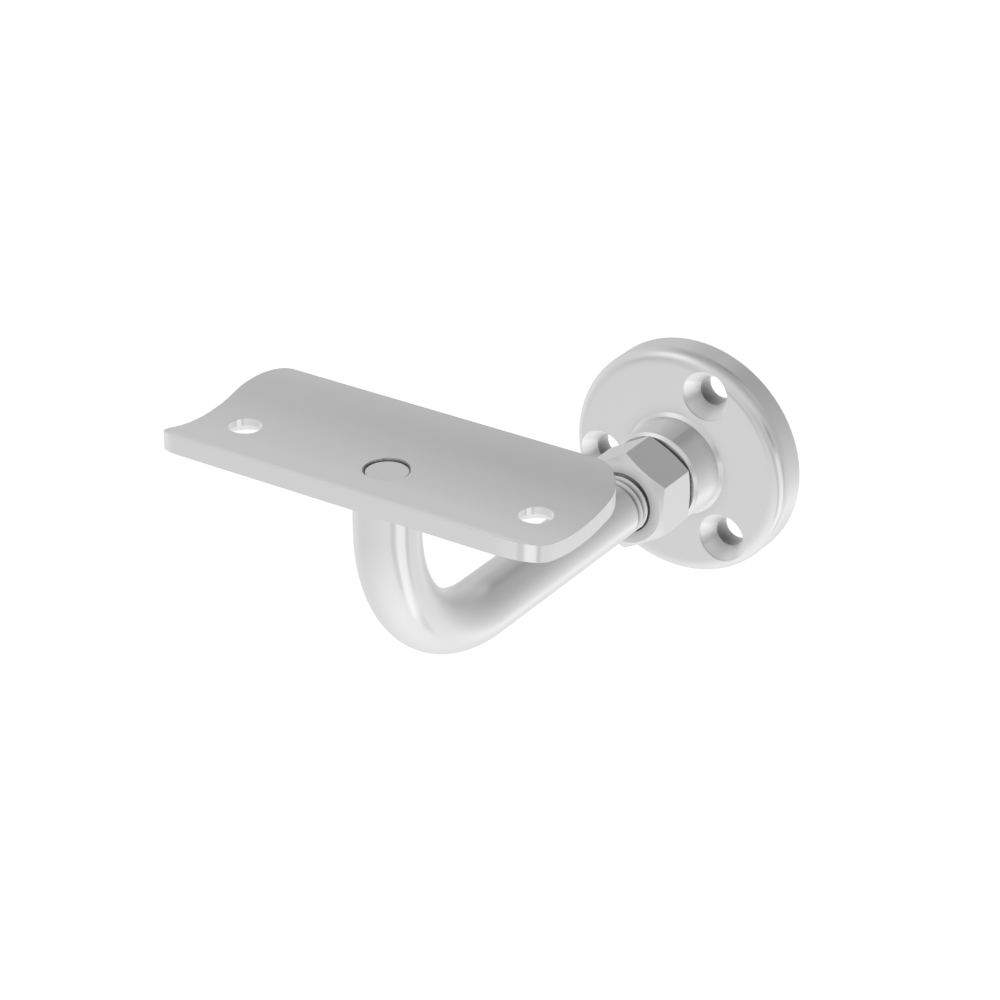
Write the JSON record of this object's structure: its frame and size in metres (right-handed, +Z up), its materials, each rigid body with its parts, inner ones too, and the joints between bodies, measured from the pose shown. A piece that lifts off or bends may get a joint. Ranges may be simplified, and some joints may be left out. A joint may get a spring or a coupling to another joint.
{
  "type": "handrail bracket",
  "caption": "Wall bracket for a handrail: a bent round bar screwed into a round wall flange, locked by a hexagon nut, carries a troughed plate that the rail is screwed to.",
  "frame": {"origin": "centre of the flange's wall face, on the bar's axis, which is also the centre of the wall screw circle", "axes": "+Y into the wall, +X along the handrail, +Z up"},
  "size_m": [0.0786, 0.1223, 0.0686],
  "materials": {
    "flange_steel": "turned, satin",
    "bar_steel": "drawn bar, satin",
    "nut_steel": "bright, lightly burnished",
    "plate_steel": "rolled strip, satin"
  },
  "bodies": {
    "root": {"wall_flange": "flange_steel", "bracket_rod": "bar_steel", "locknut": "nut_steel", "rail_plate": "plate_steel"}
  },
  "joints": []
}
